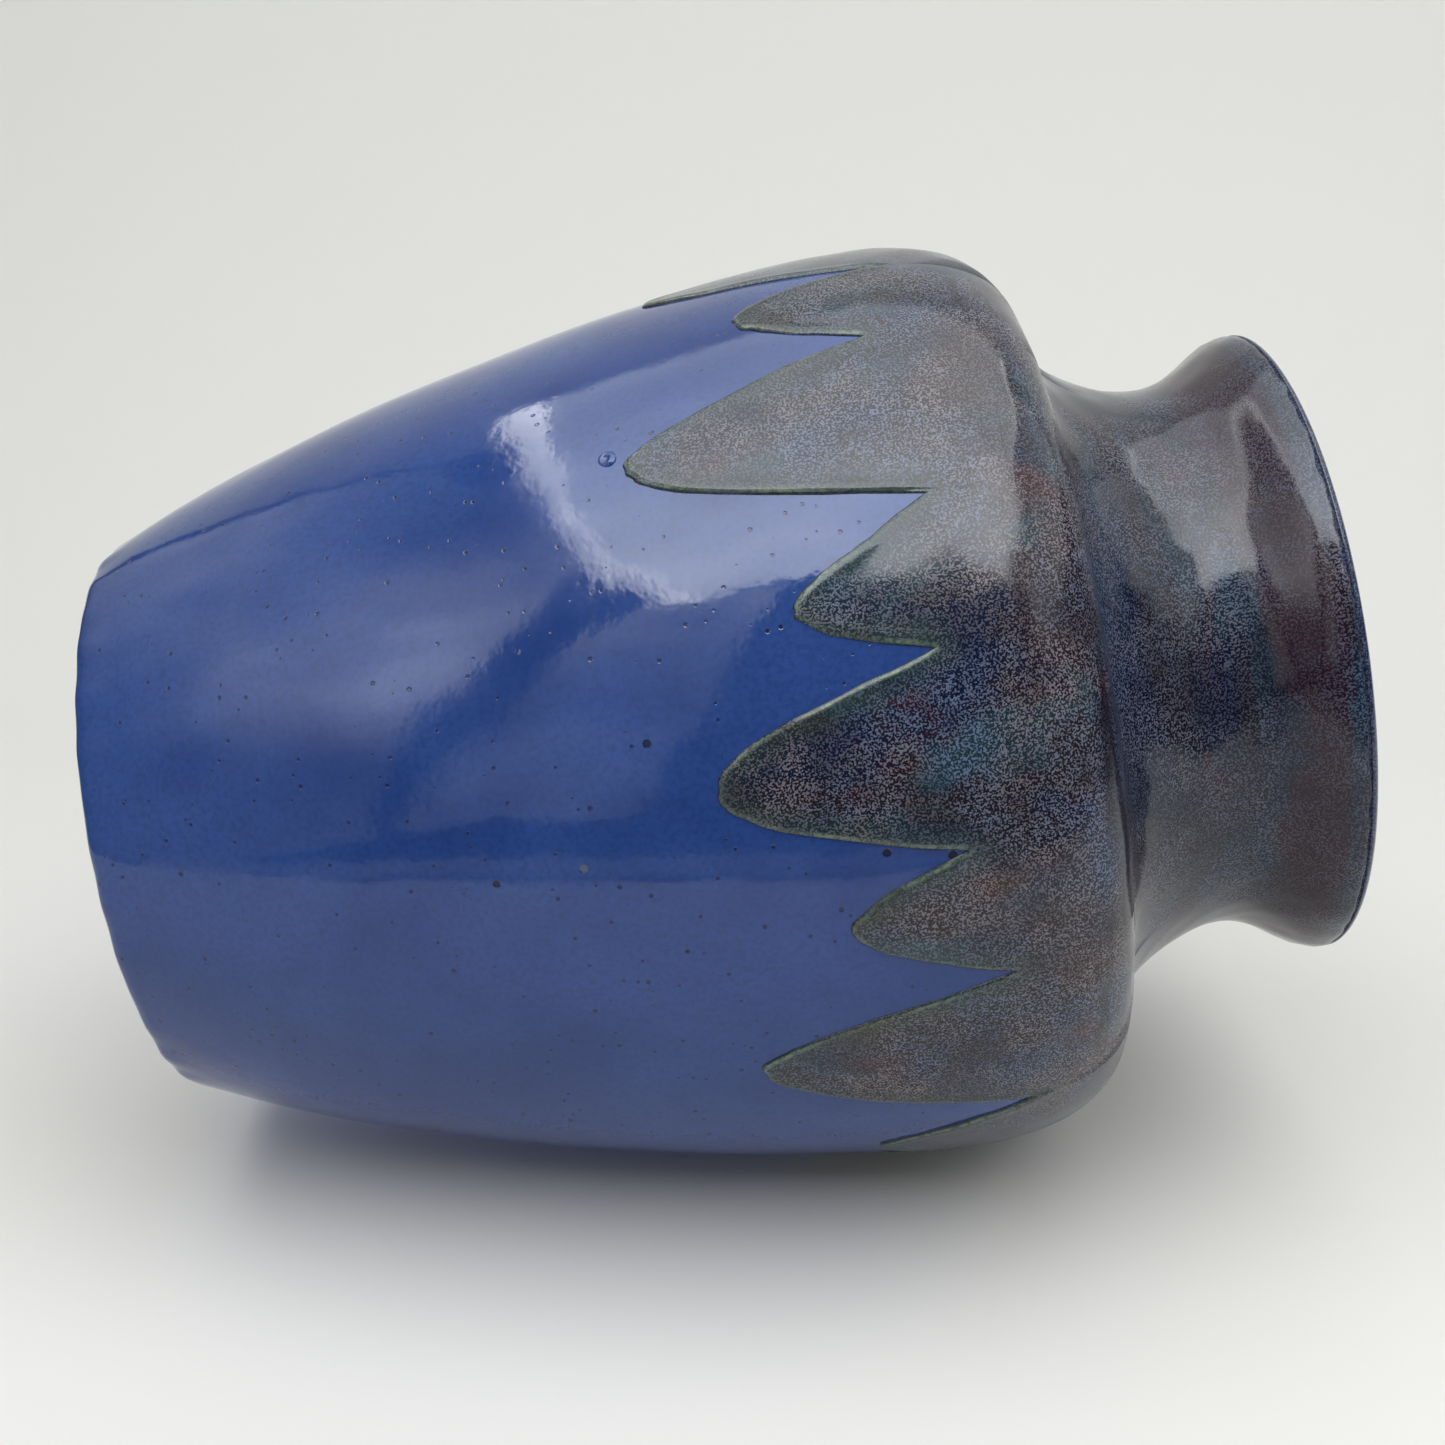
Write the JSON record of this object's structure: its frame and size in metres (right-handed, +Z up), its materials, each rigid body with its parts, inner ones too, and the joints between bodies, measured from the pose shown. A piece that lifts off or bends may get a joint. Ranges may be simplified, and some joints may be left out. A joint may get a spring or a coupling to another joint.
{
  "type": "vase",
  "caption": "Broad-shouldered stoneware vase with a waisted neck and flared lip, glossy blue glaze, and a mottled overglaze hanging in pointed tongues.",
  "frame": {"origin": "centre of the foot ring, on the plane the vase stands on", "axes": "+Z up along the vase's axis, from the foot to the mouth; +X and +Y are free, and a long tongue of the overglaze lies near +X"},
  "size_m": [0.1582, 0.1582, 0.2],
  "materials": {
    "clay": "unglazed fired stoneware, fine sandy tooth",
    "blue_glaze": "glossy royal blue with fine dark specks and pinholes",
    "mottled_glaze": "satin-gloss purple-brown and slate mottled with pale worm-like grains, greenish at its edges",
    "liner_glaze": "glossy royal blue"
  },
  "bodies": {
    "root": {"body": "clay", "neck": "clay", "glaze_blue": "blue_glaze", "glaze_mottled": "mottled_glaze", "glaze_liner": "liner_glaze", "glaze_foot": "liner_glaze"}
  },
  "joints": []
}
